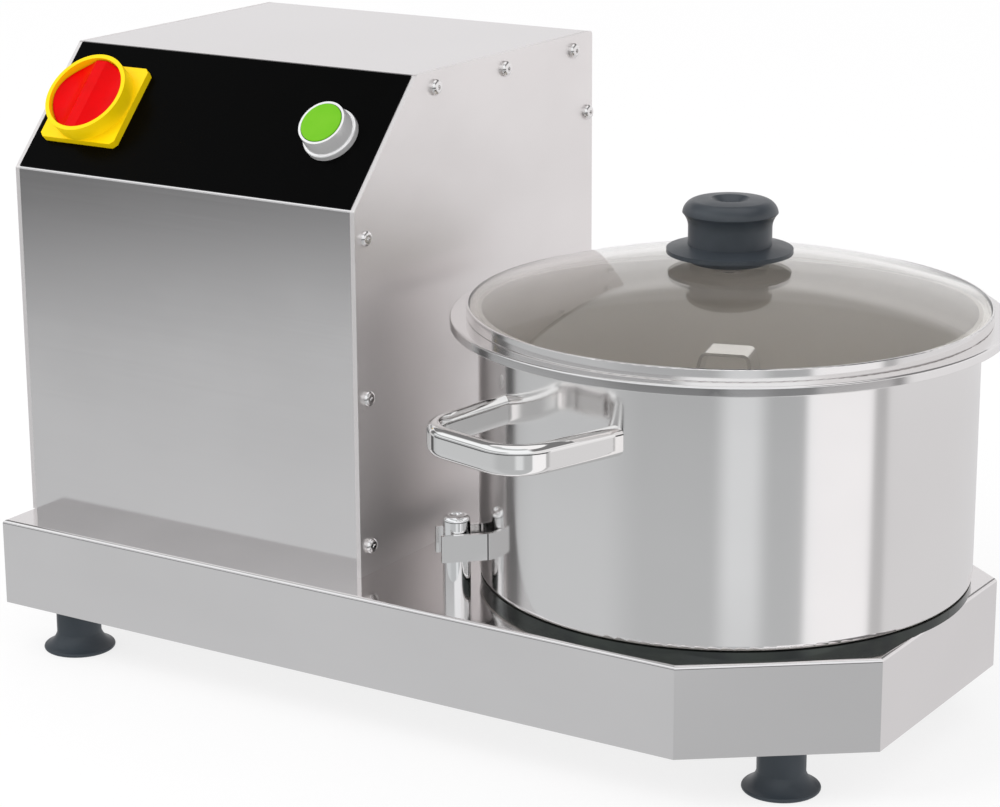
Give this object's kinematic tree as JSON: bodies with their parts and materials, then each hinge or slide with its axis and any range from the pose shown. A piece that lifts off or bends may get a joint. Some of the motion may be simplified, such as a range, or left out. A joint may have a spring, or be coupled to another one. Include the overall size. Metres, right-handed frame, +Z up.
{
  "type": "meat bowl cutter",
  "caption": "Tabletop bowl cutter: a sloped motor housing beside a lidded steel bowl with spinning knives, on one low base with rubber feet.",
  "frame": {"origin": "on the floor, at the middle of the machine's length and width", "axes": "+X to the right along the machine's length, from motor housing to bowl; +Y to the back; +Z up"},
  "size_m": [0.4956, 0.3488, 0.3113],
  "materials": {
    "base_steel": "polished satin stainless steel",
    "housing_steel": "satin stainless steel",
    "screw_steel": "bright steel",
    "foot_rubber": "satin dark grey rubber",
    "seat_rubber": "black rubber",
    "panel_black": "gloss black film",
    "switch_yellow": "satin yellow plastic",
    "switch_red": "satin red plastic",
    "button_green": "green plastic",
    "button_bezel": "bright chrome",
    "switch_black": "black plastic",
    "contactor_grey": "grey plastic",
    "pillar_chrome": "polished",
    "bowl_steel": "mirror polished stainless steel",
    "handle_chrome": "mirror polished",
    "lid_glass": "clear tempered glass",
    "knob_plastic": "satin charcoal plastic",
    "knife_steel": "ground steel",
    "shaft_steel": "machined steel",
    "cast_aluminium": "cast",
    "stator_iron": "laminated core",
    "belt_rubber": "black rubber"
  },
  "bodies": {
    "machine": {"base_deck": "base_steel", "bottom_cover": "base_steel", "housing_wrap": "housing_steel", "side_panel_left": "housing_steel", "side_panel_right": "housing_steel", "bottom_cover_screws": "screw_steel", "side_panel_screws": "screw_steel", "housing_screws": "screw_steel", "foot_bolts": "screw_steel", "pillar_nut": "screw_steel", "column_bolts": "screw_steel", "motor_bolts": "screw_steel", "foot_front_left": "foot_rubber", "foot_front_right": "foot_rubber", "foot_rear_left": "foot_rubber", "foot_rear_right": "foot_rubber", "bowl_seat_ring": "seat_rubber", "shaft_seal": "seat_rubber", "control_overlay": "panel_black", "switch_plate": "switch_yellow", "start_button_bezel": "button_bezel", "switch_body": "switch_black", "start_contact_block": "switch_black", "terminal_block": "switch_black", "cable_gland": "switch_black", "start_capacitor": "switch_black", "contactor": "contactor_grey", "locating_pillar": "pillar_chrome", "lower_bearing": "shaft_steel", "upper_bearing": "shaft_steel", "motor_mount_plate": "shaft_steel", "bearing_column": "cast_aluminium", "motor_body": "cast_aluminium", "motor_lower_bell": "cast_aluminium", "motor_upper_bell": "cast_aluminium", "motor_stator": "stator_iron", "drive_belt": "belt_rubber"},
    "bowl": {"bowl_shell": "bowl_steel", "bowl_handle_front": "handle_chrome", "bowl_handle_rear": "handle_chrome", "bowl_fork": "bowl_steel"},
    "lid": {"lid_ring": "bowl_steel", "lid_glass": "lid_glass", "lid_knob_guard": "knob_plastic", "lid_knob": "knob_plastic", "lid_knob_screw": "screw_steel"},
    "knives": {"blade_hub": "knife_steel", "lower_blade": "knife_steel", "upper_blade": "knife_steel", "blade_spacer": "knife_steel", "hub_nut": "knife_steel", "hub_strap": "knife_steel"},
    "knife_drive": {"blade_shaft": "shaft_steel", "driven_pulley": "cast_aluminium", "driven_pulley_nut": "screw_steel"},
    "motor_shaft": {"motor_rotor": "shaft_steel", "motor_pulley": "cast_aluminium", "motor_fan": "switch_black"},
    "knob": {"switch_knob": "switch_red"},
    "start": {"start_button": "button_green"}
  },
  "joints": [
    {"name": "bowl_lift", "type": "slide", "parent": "machine", "child": "bowl", "axis": [0, 0, 1], "range_m": [0, 0.12]},
    {"name": "lid_lift", "type": "slide", "parent": "bowl", "child": "lid", "axis": [0, 0, 1], "range_m": [0, 0.1]},
    {"name": "motor_spin", "type": "hinge", "parent": "machine", "child": "motor_shaft", "pos_m": [-0.1402, 0, 0.15], "axis": [0, 0, 1], "continuous": true},
    {"name": "drive_spin", "type": "hinge", "parent": "machine", "child": "knife_drive", "pos_m": [0.1143, 0, 0.1], "axis": [0, 0, 1], "continuous": true},
    {"name": "knives_spin", "type": "hinge", "parent": "bowl", "child": "knives", "pos_m": [0.1143, 0, 0.12], "axis": [0, 0, 1], "continuous": true},
    {"name": "switch_turn", "type": "hinge", "parent": "machine", "child": "knob", "pos_m": [-0.2118, -0.0746, 0.28671], "axis": [0, -0.7284, 0.6852], "range_deg": [-90, 0]},
    {"name": "start_press", "type": "slide", "parent": "machine", "child": "start", "axis": [0, 0.7284, -0.6852], "range_m": [0, 0.003], "stiffness_N_per_m": 400, "springref_m": -0.002}
  ],
  "couplings": [
    {"joint": "drive_spin", "follows": "motor_spin", "ratio": 1.4651},
    {"joint": "knives_spin", "follows": "motor_spin", "ratio": 1.4651}
  ]
}
